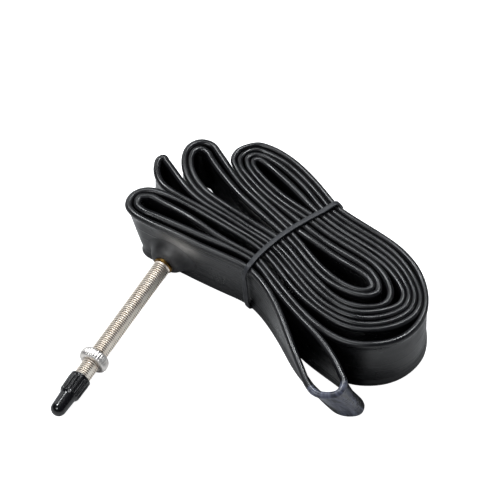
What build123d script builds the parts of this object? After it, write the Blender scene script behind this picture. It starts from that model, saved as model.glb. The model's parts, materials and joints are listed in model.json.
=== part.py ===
from build123d import *
from math import atan2, cos, hypot, pi, radians, sin
import os

os.makedirs("parts", exist_ok=True)

# ---------------------------------------------------------------- driving sizes, mm
flat_width = 25.0          # width of the deflated tube pressed flat; it stands on one edge
wall = 0.6                 # thickness of one rubber wall
press_gap = 0.05           # air left between the two pressed walls
lane_air = 0.95            # usual air between neighbouring lanes of the bundle
bundle_length = 112.0      # tip to tip along the lanes

valve_length = 60.0        # foot of the valve to the top of its core
stem_diameter = 6.0
thread_pitch = 0.8
thread_depth = 0.42
neck_diameter = 5.2        # small thread under the cap
stem_bore = 3.4
collar_rim = 0.45          # how far the brass collar stands out past the stem, where the valve leaves the rubber
collar_chamfer = 0.3
lock_ring_diameter = 10.6
lock_ring_height = 4.0
lock_ring_rounding = 1.3
grip_grooves = 28
grip_radius = 0.28
cap_mouth_diameter = 7.6
cap_length = 16.6
cap_skirt_length = 8.0
cap_skirt_taper = 0.35     # on the radius, mouth to shoulder
cap_dome_diameter = 5.9
cap_nose_share = 0.92      # radius of the round end over the dome's radius
cap_flute_count = 16
cap_flute_radius = 0.45
cap_flute_end = 0.8        # plain length left at each end of the flutes

band_width = 1.8           # rubber band, across its run
band_thickness = 1.1
band_corner = 2.0

# ---------------------------------------------------------------- named clearances, mm
running = 0.06             # radial, thread of lock ring and cap on the stem
pin_running = 0.05         # radial, pin in the core
seat_gap = 0.02            # faces that meet but may move apart
over = 1.0                 # how far a cutter runs past the face that it cuts
rubber_clear = 0.30        # air kept round every soft piece

# ---------------------------------------------------------------- sizes that follow
strip = 2 * wall + press_gap
lane_pitch = strip + lane_air
nominal_pitch = 2.2        # lane pitch the route below is drawn for
nominal_length = 112.0     # bundle length the route below is drawn for
stretch = bundle_length / nominal_length
spread = lane_pitch / nominal_pitch

# Where each of the 18 lanes passes under the band, counted from the valve side.
waist = [
    (-5.7, -18.4), (-5.0, -15.2), (-4.4, -13.4), (-4.3, -10.1), (-3.7, -8.4), (-3.2, -6.7),
    (-2.8, -5.0), (-1.5, -3.0), (-1.3, -0.4), (-0.5, 1.5), (0.1, 4.0), (1.4, 6.6),
    (2.5, 9.2), (3.0, 11.1), (4.0, 13.2), (4.5, 15.1), (5.2, 17.0), (6.3, 18.9),
]

# Folds: the lane a fold leaves, the lane it comes back on, and points along its middle line.
left_folds = [
    (1, 4, [(-18, -18.5), (-27, -18.9), (-36.5, -18.9), (-46, -19.1), (-51.5, -18.5), (-55, -16.5),
            (-56, -13.2), (-54.5, -9.6), (-51.5, -7.4), (-46, -6.4), (-40, -6.4), (-32, -6.8), (-20, -7.9)]),
    (2, 3, [(-17, -14.4), (-28, -15), (-36, -15.4), (-44, -15.6), (-49.5, -15.9), (-52.4, -14.8),
            (-53.2, -12.4), (-50.8, -10), (-44.4, -9.8), (-38, -10.1), (-30, -11), (-23, -12), (-15, -12.6)]),
    (5, 6, [(-11, -7), (-20, -6.1), (-28, -5.2), (-36, -4.7), (-42, -4.5), (-46.5, -4.1), (-49.5, -3.2),
            (-52.4, -1.1), (-54.7, 2.4), (-55.4, 5), (-54.5, 6.3), (-52.9, 5.5), (-50, 4),
            (-45.5, 1.4), (-41.5, -0.5), (-37.5, -2), (-32, -3.2), (-24, -3.9), (-14, -5.1)]),
    (7, 10, [(-14, -3.3), (-24, -2.1), (-33.5, -0.9), (-38.5, 0.6), (-43, 3.2), (-46.6, 6.8),
             (-48.7, 10.6), (-49.2, 14.6), (-47.3, 18.1), (-43.3, 19.3), (-38.8, 17.2),
             (-33.6, 14.2), (-25, 9.6), (-17, 6.9), (-8, 4.1)]),
    (8, 9, [(-14, -1.3), (-26.5, 0.1), (-35.5, 2), (-41, 4.7), (-44.8, 8.1), (-46.7, 11.6),
            (-46.9, 14.4), (-45.5, 16.1), (-43.4, 16), (-39.4, 13.6), (-34.2, 10.8), (-27, 7.5),
            (-19.7, 4.9), (-10.4, 2.2)]),
    (11, 18, [(-8, 6.3), (-17, 8.9), (-24.5, 11.7), (-31, 15.2), (-33.5, 17.6), (-34.1, 21.2),
              (-32.3, 24.9), (-29.3, 27.6), (-25, 28.5), (-20, 28.4), (-15, 27.6), (-8, 25.4), (-1, 22.4)]),
    (12, 17, [(-6, 8.4), (-12, 9.6), (-18.5, 11.3), (-24.5, 13.7), (-29.4, 16.2), (-31.9, 19.6),
              (-31.2, 23.4), (-28.8, 25.8), (-25, 26.4), (-20, 26.3), (-14.5, 25.3), (-7, 22.8), (0, 19.8)]),
    (13, 16, [(-6, 10.4), (-13, 11.8), (-20, 14), (-25.2, 16.3), (-28.6, 18.8), (-29.8, 21),
              (-28.5, 23.4), (-26, 24.4), (-20.5, 24.2), (-14, 22.8), (-7, 20.6)]),
    (14, 15, [(-6, 12.4), (-13, 13.9), (-20, 15.9), (-24.6, 18), (-26.8, 19.6), (-27.4, 21.2),
              (-26.2, 22.4), (-24, 22.4), (-19, 21.2), (-12, 18.8), (-5, 16.4)]),
]
right_folds = [
    (1, 2, [(2, -21.4), (7.5, -24.9), (13, -29.2), (18.8, -34.5), (24.4, -39.5), (29.9, -44.2),
            (34.1, -47.8), (37.9, -49.4), (42, -48.4), (45.1, -45.4), (45, -42), (41.2, -38.1),
            (35.9, -34.2), (30.7, -31.3), (25.5, -29), (19.2, -26.6), (12.9, -23.9), (5.7, -20.6)]),
    (3, 18, [(1, -15.9), (6.7, -18.7), (12, -21.3), (17.5, -23.6), (24, -25.9), (30, -27.2),
             (35.5, -27.3), (40.6, -26.2), (45.2, -23.9), (49.3, -20.7), (52.5, -16.2), (54.4, -10),
             (54.2, -4), (52, 1.6), (48.4, 6.3), (43.4, 10.5), (38, 13.3), (32, 15.3), (25, 16.4),
             (17, 17.2)]),
    (4, 17, [(0.5, -12.2), (6, -15), (14.3, -18.7), (23.6, -21.4), (32, -22.2), (37.5, -21.2),
             (42.2, -19), (46.6, -15.6), (50, -11.2), (51.8, -6.5), (51.6, -2.2), (49.8, 1.7),
             (46.6, 5.2), (42, 8.7), (37, 11.3), (31, 13.3), (24, 14.4), (15, 15.2)]),
    (5, 16, [(1.5, -10.5), (7, -13.2), (13.4, -16.2), (22.6, -19.3), (31, -20.2), (36.8, -19.2),
             (41, -17.1), (45, -13.7), (48, -9.8), (49.5, -5.8), (49.3, -2), (47.4, 1.7),
             (44.2, 4.8), (40, 7.7), (35, 10), (29, 11.5), (22, 12.5), (14, 13.3)]),
    (6, 15, [(2, -8.7), (7.5, -11.3), (13, -13.9), (20.7, -16.8), (29, -17.9), (34.4, -17.2),
             (39.2, -15), (43, -11.8), (45.9, -8.2), (47.3, -4.8), (47, -1.6), (45, 1.6), (41.8, 4.2),
             (38, 6.5), (33.5, 8.3), (28, 9.6), (21, 10.6), (13, 11.4)]),
    (7, 14, [(2.5, -6.9), (8, -9.4), (13, -11.7), (20, -14.3), (28.4, -15.8), (34, -15.1),
             (38.2, -13), (41.6, -10), (44, -7), (45.1, -4.4), (44.8, -1.6), (42.8, 1.1), (39.8, 3.3),
             (36, 5.3), (31.5, 6.9), (26, 7.8), (19, 8.7), (11, 9.6)]),
    (8, 13, [(3, -4.8), (8, -7.3), (17.9, -11.3), (22.8, -12.9), (27.6, -13.6), (32.8, -12.9),
             (37.2, -10.9), (40, -8.5), (41.2, -5.8), (40.4, -2.4), (37.8, 0.7), (34, 3.3),
             (30, 4.9), (24.6, 5.9), (18.3, 6.7), (9.8, 7.7)]),
    (9, 12, [(3, -2.1), (10.1, -5.4), (15, -7.5), (20.2, -9.1), (26.3, -9.6), (31.5, -8.7),
             (34.9, -6.8), (36.4, -4), (34.9, -1.2), (32.2, 0.9), (29, 2.2), (25, 2.9), (19, 3.6),
             (12.7, 4.4), (7, 5.4)]),
    (10, 11, [(4, -0.3), (9, -2.6), (13.9, -4.9), (18, -6.3), (22, -7.2), (26.5, -7.4), (30.5, -6.6),
              (33, -5.1), (33.7, -3.5), (32.3, -1.9), (30, -0.8), (27, -0.1), (22, 0.4), (17, 1),
              (10, 2.2)]),
]

# Valve place on the outer face of lane 1, and the way it points.
valve_x = -36.8
valve_lane_y = -18.9
valve_height = 9.0
valve_droop = 4.0          # degrees below level
valve_yaw = 1.2            # degrees towards the near end of the bundle

# Distances along the valve axis from the face of the tube.
foot_base = 1.0
foot_plate_height = 1.2
foot_plate_diameter = 10.0
boss_lip = 0.3             # rubber left round the foot plate at the top of the boss
pad_length = 27.0
pad_height_across = 17.0
pad_rise = 0.7
boss_diameter = 13.0
boss_rise = 3.0
collar_top = 4.2
plain_end = 0.5            # unthreaded stem above the collar
core_top = foot_base + valve_length
core_head_height = 1.5
neck_length = 4.2
stem_top = core_top - core_head_height
cap_seat = stem_top - neck_length
relief = 0.3               # undercut where the thread ends below the neck
lock_ring_centre = core_top - 14.0
core_length = 20.0
core_diameter = 2.9
core_head_diameter = 4.2
pin_diameter = 1.2
pin_bore = pin_diameter + 2 * pin_running
pin_head_height = 0.6
pin_tip = 1.3              # pin that stands out of the nut
nut_diameter = 3.4
nut_height = 3.2
nut_chamfer = 0.25
nut_flute_count = 12
nut_flute_radius = 0.16
press_travel = 2.5
nut_clear = 0.2            # left under the nut with the pin pressed down
nut_base = core_top + press_travel + nut_clear
pin_top = nut_base + nut_height + pin_tip
seal_height = 1.8
seal_diameter = 2.7
pin_head_diameter = 2.2
gasket_height = 1.2
gasket_thickness = 0.4
gasket_place = 8.0         # above the lower end of the core
cap_clear = 0.24           # on the diameter, round the core's head
nut_room = 0.4             # on the diameter, round the nut inside the cap
cap_headroom = 0.8         # above the tip of the pin


# ---------------------------------------------------------------- the folded route
parallel = 1e-9            # two directions closer than this are the same
straight = 1e-5            # sine of the turn under which an arc is a line


def fold_from(table, lane):
    """The fold that leaves a lane: the lane it reaches and its points, in walking order."""
    for first, last, points in table:
        if first == lane:
            return last, points
        if last == lane:
            return first, points[::-1]


def walk_route():
    """Walk the whole ring once: lane, right fold, lane, left fold, and so on back to lane 1."""
    points, lane = [], 1
    while True:
        points.append(waist[lane - 1])
        lane, fold = fold_from(right_folds, lane)
        points += fold
        points.append(waist[lane - 1])
        lane, fold = fold_from(left_folds, lane)
        points += fold
        if lane == 1:
            return [(x * stretch, y * spread) for x, y in points]


def unit(x, y):
    """A vector of length one along (x, y)."""
    size = hypot(x, y)
    return x / size, y / size


def tangents(points):
    """Direction at every point of a closed row: the circle through it and its neighbours."""
    rows = []
    for i, (x, y) in enumerate(points):
        (ax, ay), (bx, by) = points[i - 1], points[(i + 1) % len(points)]
        back, ahead = hypot(x - ax, y - ay), hypot(bx - x, by - y)
        rows.append(unit((x - ax) * ahead / back + (bx - x) * back / ahead,
                         (y - ay) * ahead / back + (by - y) * back / ahead))
    return rows


def joint(p, s, q, e):
    """Meeting point of the two equal-tangent arcs from p (direction s) to q (direction e)."""
    vx, vy = q[0] - p[0], q[1] - p[1]
    tx, ty = s[0] + e[0], s[1] + e[1]
    along = vx * tx + vy * ty
    spare = 2 * (1 - s[0] * e[0] - s[1] * e[1])
    if spare < parallel:
        reach = (vx * vx + vy * vy) / (2 * along)
    else:
        reach = ((along * along + spare * (vx * vx + vy * vy)) ** 0.5 - along) / spare
    return ((p[0] + q[0] + reach * (s[0] - e[0])) / 2, (p[1] + q[1] + reach * (s[1] - e[1])) / 2)


def arc_span(p, s, q):
    """Middle point and end direction of the arc that leaves p along s and ends at q."""
    cx, cy = unit(q[0] - p[0], q[1] - p[1])
    turn = atan2(s[0] * cy - s[1] * cx, s[0] * cx + s[1] * cy)
    half = hypot(q[0] - p[0], q[1] - p[1]) / 2
    rise = half * sin(turn / 2) / (1 + cos(turn)) * 2 * cos(turn / 2)
    middle = ((p[0] + q[0]) / 2 + cy * rise, (p[1] + q[1]) / 2 - cx * rise)
    end = (cx * cos(turn) - cy * sin(turn), cy * cos(turn) + cx * sin(turn))
    return middle, (cx, cy), end


def shifted(p, direction, side):
    """The point moved sideways, to the left of its direction."""
    return p[0] - direction[1] * side, p[1] + direction[0] * side


def side_wire(points, side):
    """Closed wire of tangent arcs at a fixed distance to one side of the route."""
    ways = tangents(points)
    edges = []
    for i, p in enumerate(points):
        q, way, last_way = points[(i + 1) % len(points)], ways[i], ways[(i + 1) % len(points)]
        start = p
        for end in (joint(p, way, q, last_way), q):
            middle, chord, end_way = arc_span(start, way, end)
            a, b, c = shifted(start, way, side), shifted(middle, chord, side), shifted(end, end_way, side)
            bent = abs(way[0] * chord[1] - way[1] * chord[0]) > straight
            edges.append(ThreePointArc(a, b, c) if bent else Line(a, c))
            start, way = end, end_way
    return Wire(edges)


route = walk_route()
outer_wire, inner_wire = side_wire(route, strip / 2), side_wire(route, -strip / 2)
if Face(outer_wire).area < Face(inner_wire).area:
    outer_wire, inner_wire = inner_wire, outer_wire
tube = extrude(Face(outer_wire, [inner_wire]), amount=flat_width, dir=(0, 0, 1))

# ---------------------------------------------------------------- rubber band round the waist
near, far = waist[0], waist[-1]
band_dx, band_dy = unit((far[0] - near[0]) * stretch, (far[1] - near[1]) * spread)
band_reach = hypot((far[0] - near[0]) * stretch, (far[1] - near[1]) * spread) / 2
band_centre = ((near[0] + far[0]) / 2 * stretch, (near[1] + far[1]) / 2 * spread)
band_plane = Plane(origin=(*band_centre, flat_width / 2), x_dir=(band_dx, band_dy, 0),
                   z_dir=(band_dy, -band_dx, 0))
band_inside_length = 2 * band_reach + strip + band_width + 2 * rubber_clear
band_inside_height = flat_width - 2 * band_thickness
band_profile = (RectangleRounded(band_inside_length + 2 * band_thickness,
                                 band_inside_height + 2 * band_thickness, band_corner + band_thickness)
                - RectangleRounded(band_inside_length, band_inside_height, band_corner))
rubber_band = extrude(band_plane * band_profile, amount=band_width / 2, both=True)
# The band presses a groove across the folded edges, above and below.
groove_profile = Rectangle(band_inside_length, flat_width + 2 * over)
groove_profile -= Rectangle(band_inside_length + 2 * over, band_inside_height - 2 * rubber_clear)
groove = extrude(band_plane * groove_profile, amount=band_width / 2 + rubber_clear, both=True)
tube -= groove

# ---------------------------------------------------------------- valve frame
face_y = valve_lane_y * spread - strip / 2
wall_plane = Plane(origin=(valve_x * stretch, face_y, valve_height), x_dir=(1, 0, 0), z_dir=(0, -1, 0))
droop, yaw = radians(valve_droop), radians(valve_yaw)
valve_axis = (-sin(yaw) * cos(droop), -cos(yaw) * cos(droop), -sin(droop))
valve_plane = Plane(origin=wall_plane.origin, x_dir=(cos(yaw), -sin(yaw), 0), z_dir=valve_axis)


def rod(diameter, start, end):
    """Solid round bar on the valve axis between two distances."""
    return Pos(0, 0, (start + end) / 2) * Cylinder(diameter / 2, end - start)


def turned(points):
    """Solid of revolution about the valve axis from (radius, distance) corners."""
    outline = Polyline(*[(r, 0, z) for r, z in points], close=True)
    return revolve(Face(Wire(outline.edges())), axis=Axis.Z)


def threaded(diameter, start, end, pitch, depth):
    """Round bar with V ridges at the thread pitch: each rises for two fifths, and is flat for one."""
    crest, root = diameter / 2, diameter / 2 - depth
    corners = [(0, start), (root, start)]
    for n in range(int((end - start) / pitch)):
        base = start + n * pitch
        corners += [(crest, base + 2 / 5 * pitch), (crest, base + 3 / 5 * pitch), (root, base + pitch)]
    corners += [(root, end), (0, end)]
    return turned([c for i, c in enumerate(corners) if i == 0 or c != corners[i - 1]])


# ---------------------------------------------------------------- rubber pad and brass foot
pad = extrude(wall_plane * (Pos(0, 0, -strip / 2) * Ellipse(pad_length / 2, pad_height_across / 2)),
              amount=strip / 2 + pad_rise)
boss = wall_plane * (Pos(0, 0, pad_rise) * Cone(boss_diameter / 2, foot_plate_diameter / 2 + boss_lip,
                                                boss_rise - pad_rise,
                                                align=(Align.CENTER, Align.CENTER, Align.MIN)))
foot_plate = rod(foot_plate_diameter, foot_base, foot_base + foot_plate_height)
collar_diameter = stem_diameter + 2 * collar_rim
collar = rod(collar_diameter, foot_base, collar_top)
collar = chamfer(collar.edges().group_by(Axis.Z)[-1], collar_chamfer)
valve_foot = valve_plane * (foot_plate + collar - rod(stem_diameter, 0, collar_top + over))
well = (rod(foot_plate_diameter, foot_base, foot_base + foot_plate_height)
        + rod(collar_diameter, foot_base, collar_top + over) + rod(stem_bore, -strip / 4, foot_base + over))
valve_patch = pad + boss - tube - valve_plane * well
tube -= wall_plane * rod(stem_bore, -strip / 2, over)

# ---------------------------------------------------------------- stem
thread_start, thread_end = collar_top + plain_end, cap_seat - relief
plain = rod(stem_diameter, foot_base, thread_start)
main_thread = threaded(stem_diameter, thread_start, thread_end, thread_pitch, thread_depth)
shoulder = rod(stem_diameter - 2 * thread_depth, thread_end, cap_seat - seat_gap)
neck = threaded(neck_diameter, cap_seat - seat_gap, stem_top, thread_pitch / 2, thread_depth / 2)
core_floor = core_top - core_length
stem_body = (plain + main_thread + shoulder + neck - rod(stem_bore, 0, core_floor)
             - rod(core_diameter, core_floor, core_top))
valve_stem = valve_plane * stem_body

# ---------------------------------------------------------------- core: body, gasket, pin, seal, nut
gasket_start = core_floor + gasket_place
core_head = rod(core_head_diameter, stem_top + seat_gap, core_top)
flats = Box(core_head_diameter, core_diameter, 2 * core_top)
core_sleeve = rod(core_diameter, core_floor, core_top) + (core_head & flats)
gasket_ring = (rod(core_diameter, gasket_start, gasket_start + gasket_height)
               - rod(core_diameter - 2 * gasket_thickness, core_floor, core_top))
core_body = valve_plane * (core_sleeve - gasket_ring - rod(pin_bore, core_floor - over, core_top + over))
core_gasket = valve_plane * gasket_ring
seal_top = core_floor - seat_gap
core_seal = valve_plane * (rod(seal_diameter, seal_top - seal_height, seal_top)
                           - rod(pin_diameter, 0, core_top))
seal_base = seal_top - seal_height
pin_head = rod(pin_head_diameter, seal_base - pin_head_height, seal_base)
core_pin = valve_plane * (rod(pin_diameter, seal_base, pin_top) + pin_head)
nut_blank = chamfer(rod(nut_diameter, nut_base, nut_base + nut_height).edges(), nut_chamfer)
nut_flutes = [Rot(0, 0, 360 / nut_flute_count * n) * Pos(nut_diameter / 2, 0, nut_base + nut_height / 2)
              * Cylinder(nut_flute_radius, nut_height) for n in range(nut_flute_count)]
nut_hole = rod(pin_diameter + 2 * seat_gap, nut_base - over, pin_top)
core_nut = valve_plane * (nut_blank - nut_flutes - nut_hole)

# ---------------------------------------------------------------- lock ring
ring_start = lock_ring_centre - lock_ring_height / 2
ring_blank = rod(lock_ring_diameter, ring_start, ring_start + lock_ring_height)
ring_blank = fillet(ring_blank.edges(), lock_ring_rounding)
ring_grooves = [Rot(0, 0, 360 / grip_grooves * n) * Pos(lock_ring_diameter / 2, 0, lock_ring_centre)
                * Cylinder(grip_radius, lock_ring_height) for n in range(grip_grooves)]
ring_hole = rod(stem_diameter + 2 * running, ring_start - over, ring_start + lock_ring_height + over)
lock_ring = valve_plane * (ring_blank - ring_grooves - ring_hole)

# ---------------------------------------------------------------- cap
cap_end = cap_seat + cap_length
skirt_end = cap_seat + cap_skirt_length
mouth, dome = cap_mouth_diameter / 2, cap_dome_diameter / 2
skirt_top = mouth - cap_skirt_taper
shoulder_end = skirt_end + skirt_top - dome
nose = dome * cap_nose_share
dome_side = Polyline((0, cap_seat), (mouth, cap_seat), (skirt_top, skirt_end),
                     (dome, shoulder_end), (nose, cap_end - nose))
dome_end = ThreePointArc((nose, cap_end - nose),
                         (nose * cos(pi / 4), cap_end - nose + nose * sin(pi / 4)), (0, cap_end))
cap_face = make_face(Plane.XZ * (dome_side + dome_end + Line((0, cap_end), (0, cap_seat))))
cap_blank = revolve(cap_face, axis=Axis.Z)
cap_flute = Cylinder(cap_flute_radius, cap_skirt_length - 2 * cap_flute_end)
flute_place = Pos(mouth, 0, cap_seat + cap_skirt_length / 2)
cap_flutes = [Rot(0, 0, 360 / cap_flute_count * n) * flute_place * cap_flute for n in range(cap_flute_count)]
cap_bore = rod(neck_diameter + 2 * running, cap_seat - over, stem_top + seat_gap)
cap_well = (rod(core_head_diameter + cap_clear, cap_seat, core_top + cap_clear)
            + rod(nut_diameter + nut_room, cap_seat, pin_top + cap_headroom))
valve_cap = valve_plane * (cap_blank - cap_bore - cap_well - cap_flutes)

# ---------------------------------------------------------------- one frame: bottom centre
pieces = {
    "tube": tube, "rubber_band": rubber_band, "valve_patch": valve_patch, "valve_foot": valve_foot,
    "valve_stem": valve_stem, "lock_ring": lock_ring, "valve_cap": valve_cap, "core_body": core_body,
    "core_gasket": core_gasket, "core_pin": core_pin, "core_seal": core_seal, "core_nut": core_nut,
}
whole = Compound(children=[Compound(piece.solids()) for piece in pieces.values()]).bounding_box()
home = Pos(-whole.center().X, -whole.center().Y, -whole.min.Z)
for name, piece in pieces.items():
    export_step(home * piece, f"parts/{name}.step")
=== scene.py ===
# %% [markdown]
# # A folded bicycle inner tube
# A deflated inner tube is one closed ring of rubber pressed flat. Here it stands on its folded edge and is
# laid to and fro in 18 lanes, with a rubber band round the waist. The CAD model gives the frame: every piece
# below is placed from its boxes and its mounts, and rides on one of its bodies.

# %% Load the frame
import json
import math
import bpy
import numpy as np
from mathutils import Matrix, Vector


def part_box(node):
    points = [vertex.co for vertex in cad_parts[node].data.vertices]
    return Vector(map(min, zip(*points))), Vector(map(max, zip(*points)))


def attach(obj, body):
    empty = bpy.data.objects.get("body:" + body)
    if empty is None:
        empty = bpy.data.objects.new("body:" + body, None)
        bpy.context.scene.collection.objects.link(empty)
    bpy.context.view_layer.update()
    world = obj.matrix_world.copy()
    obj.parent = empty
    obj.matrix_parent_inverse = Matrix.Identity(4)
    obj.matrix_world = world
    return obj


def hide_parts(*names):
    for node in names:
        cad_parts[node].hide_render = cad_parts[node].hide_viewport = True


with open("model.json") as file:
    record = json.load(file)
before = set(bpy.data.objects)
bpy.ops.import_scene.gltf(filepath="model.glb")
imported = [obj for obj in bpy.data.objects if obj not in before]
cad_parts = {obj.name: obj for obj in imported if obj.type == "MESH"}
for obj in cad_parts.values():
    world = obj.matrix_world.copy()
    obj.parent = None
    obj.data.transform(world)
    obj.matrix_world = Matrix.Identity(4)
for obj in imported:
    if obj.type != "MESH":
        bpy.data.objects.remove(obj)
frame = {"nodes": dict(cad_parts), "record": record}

nodes, record = frame["nodes"], frame["record"]
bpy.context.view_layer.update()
MM = 0.001
rng = np.random.default_rng(7)

# %% [markdown]
# ## The route
# The ring is drawn as a walk: a lane passes under the band, a fold turns it round, the next lane comes back.
# The points are the plan positions, in millimetres, of the middle of the flat tube. They are the same ones that
# the CAD solid follows. A curve drawn by hand would do for a picture, but a table keeps the looks on the CAD part.

# %% Route points
# Where each of the 18 lanes passes under the band, counted from the valve side.
WAIST = [
    (-5.7, -18.4), (-5.0, -15.2), (-4.4, -13.4), (-4.3, -10.1), (-3.7, -8.4), (-3.2, -6.7),
    (-2.8, -5.0), (-1.5, -3.0), (-1.3, -0.4), (-0.5, 1.5), (0.1, 4.0), (1.4, 6.6),
    (2.5, 9.2), (3.0, 11.1), (4.0, 13.2), (4.5, 15.1), (5.2, 17.0), (6.3, 18.9),
]

# Folds: the lane a fold leaves, the lane it comes back on, and points along its middle line.
LEFT_FOLDS = [
    (1, 4, [(-18, -18.5), (-27, -18.9), (-36.5, -18.9), (-46, -19.1), (-51.5, -18.5), (-55, -16.5),
            (-56, -13.2), (-54.5, -9.6), (-51.5, -7.4), (-46, -6.4), (-40, -6.4), (-32, -6.8), (-20, -7.9)]),
    (2, 3, [(-17, -14.4), (-28, -15), (-36, -15.4), (-44, -15.6), (-49.5, -15.9), (-52.4, -14.8),
            (-53.2, -12.4), (-50.8, -10), (-44.4, -9.8), (-38, -10.1), (-30, -11), (-23, -12), (-15, -12.6)]),
    (5, 6, [(-11, -7), (-20, -6.1), (-28, -5.2), (-36, -4.7), (-42, -4.5), (-46.5, -4.1), (-49.5, -3.2),
            (-52.4, -1.1), (-54.7, 2.4), (-55.4, 5), (-54.5, 6.3), (-52.9, 5.5), (-50, 4),
            (-45.5, 1.4), (-41.5, -0.5), (-37.5, -2), (-32, -3.2), (-24, -3.9), (-14, -5.1)]),
    (7, 10, [(-14, -3.3), (-24, -2.1), (-33.5, -0.9), (-38.5, 0.6), (-43, 3.2), (-46.6, 6.8),
             (-48.7, 10.6), (-49.2, 14.6), (-47.3, 18.1), (-43.3, 19.3), (-38.8, 17.2),
             (-33.6, 14.2), (-25, 9.6), (-17, 6.9), (-8, 4.1)]),
    (8, 9, [(-14, -1.3), (-26.5, 0.1), (-35.5, 2), (-41, 4.7), (-44.8, 8.1), (-46.7, 11.6),
            (-46.9, 14.4), (-45.5, 16.1), (-43.4, 16), (-39.4, 13.6), (-34.2, 10.8), (-27, 7.5),
            (-19.7, 4.9), (-10.4, 2.2)]),
    (11, 18, [(-8, 6.3), (-17, 8.9), (-24.5, 11.7), (-31, 15.2), (-33.5, 17.6), (-34.1, 21.2),
              (-32.3, 24.9), (-29.3, 27.6), (-25, 28.5), (-20, 28.4), (-15, 27.6), (-8, 25.4), (-1, 22.4)]),
    (12, 17, [(-6, 8.4), (-12, 9.6), (-18.5, 11.3), (-24.5, 13.7), (-29.4, 16.2), (-31.9, 19.6),
              (-31.2, 23.4), (-28.8, 25.8), (-25, 26.4), (-20, 26.3), (-14.5, 25.3), (-7, 22.8), (0, 19.8)]),
    (13, 16, [(-6, 10.4), (-13, 11.8), (-20, 14), (-25.2, 16.3), (-28.6, 18.8), (-29.8, 21),
              (-28.5, 23.4), (-26, 24.4), (-20.5, 24.2), (-14, 22.8), (-7, 20.6)]),
    (14, 15, [(-6, 12.4), (-13, 13.9), (-20, 15.9), (-24.6, 18), (-26.8, 19.6), (-27.4, 21.2),
              (-26.2, 22.4), (-24, 22.4), (-19, 21.2), (-12, 18.8), (-5, 16.4)]),
]
RIGHT_FOLDS = [
    (1, 2, [(2, -21.4), (7.5, -24.9), (13, -29.2), (18.8, -34.5), (24.4, -39.5), (29.9, -44.2),
            (34.1, -47.8), (37.9, -49.4), (42, -48.4), (45.1, -45.4), (45, -42), (41.2, -38.1),
            (35.9, -34.2), (30.7, -31.3), (25.5, -29), (19.2, -26.6), (12.9, -23.9), (5.7, -20.6)]),
    (3, 18, [(1, -15.9), (6.7, -18.7), (12, -21.3), (17.5, -23.6), (24, -25.9), (30, -27.2),
             (35.5, -27.3), (40.6, -26.2), (45.2, -23.9), (49.3, -20.7), (52.5, -16.2), (54.4, -10),
             (54.2, -4), (52, 1.6), (48.4, 6.3), (43.4, 10.5), (38, 13.3), (32, 15.3), (25, 16.4),
             (17, 17.2)]),
    (4, 17, [(0.5, -12.2), (6, -15), (14.3, -18.7), (23.6, -21.4), (32, -22.2), (37.5, -21.2),
             (42.2, -19), (46.6, -15.6), (50, -11.2), (51.8, -6.5), (51.6, -2.2), (49.8, 1.7),
             (46.6, 5.2), (42, 8.7), (37, 11.3), (31, 13.3), (24, 14.4), (15, 15.2)]),
    (5, 16, [(1.5, -10.5), (7, -13.2), (13.4, -16.2), (22.6, -19.3), (31, -20.2), (36.8, -19.2),
             (41, -17.1), (45, -13.7), (48, -9.8), (49.5, -5.8), (49.3, -2), (47.4, 1.7),
             (44.2, 4.8), (40, 7.7), (35, 10), (29, 11.5), (22, 12.5), (14, 13.3)]),
    (6, 15, [(2, -8.7), (7.5, -11.3), (13, -13.9), (20.7, -16.8), (29, -17.9), (34.4, -17.2),
             (39.2, -15), (43, -11.8), (45.9, -8.2), (47.3, -4.8), (47, -1.6), (45, 1.6), (41.8, 4.2),
             (38, 6.5), (33.5, 8.3), (28, 9.6), (21, 10.6), (13, 11.4)]),
    (7, 14, [(2.5, -6.9), (8, -9.4), (13, -11.7), (20, -14.3), (28.4, -15.8), (34, -15.1),
             (38.2, -13), (41.6, -10), (44, -7), (45.1, -4.4), (44.8, -1.6), (42.8, 1.1), (39.8, 3.3),
             (36, 5.3), (31.5, 6.9), (26, 7.8), (19, 8.7), (11, 9.6)]),
    (8, 13, [(3, -4.8), (8, -7.3), (17.9, -11.3), (22.8, -12.9), (27.6, -13.6), (32.8, -12.9),
             (37.2, -10.9), (40, -8.5), (41.2, -5.8), (40.4, -2.4), (37.8, 0.7), (34, 3.3),
             (30, 4.9), (24.6, 5.9), (18.3, 6.7), (9.8, 7.7)]),
    (9, 12, [(3, -2.1), (10.1, -5.4), (15, -7.5), (20.2, -9.1), (26.3, -9.6), (31.5, -8.7),
             (34.9, -6.8), (36.4, -4), (34.9, -1.2), (32.2, 0.9), (29, 2.2), (25, 2.9), (19, 3.6),
             (12.7, 4.4), (7, 5.4)]),
    (10, 11, [(4, -0.3), (9, -2.6), (13.9, -4.9), (18, -6.3), (22, -7.2), (26.5, -7.4), (30.5, -6.6),
              (33, -5.1), (33.7, -3.5), (32.3, -1.9), (30, -0.8), (27, -0.1), (22, 0.4), (17, 1),
              (10, 2.2)]),
]
# %% [markdown]
# ## Lean
# Most of the tube stands upright. At the two loose ends on the valve side it leans over: its lower edge is
# tucked in under the bundle. `LEAN` holds, for a fold, how far the lower edge lies from the upper one in plan
# (x and y), one pair for each point of that fold. A table is used because each loose turn was laid by hand.

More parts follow.
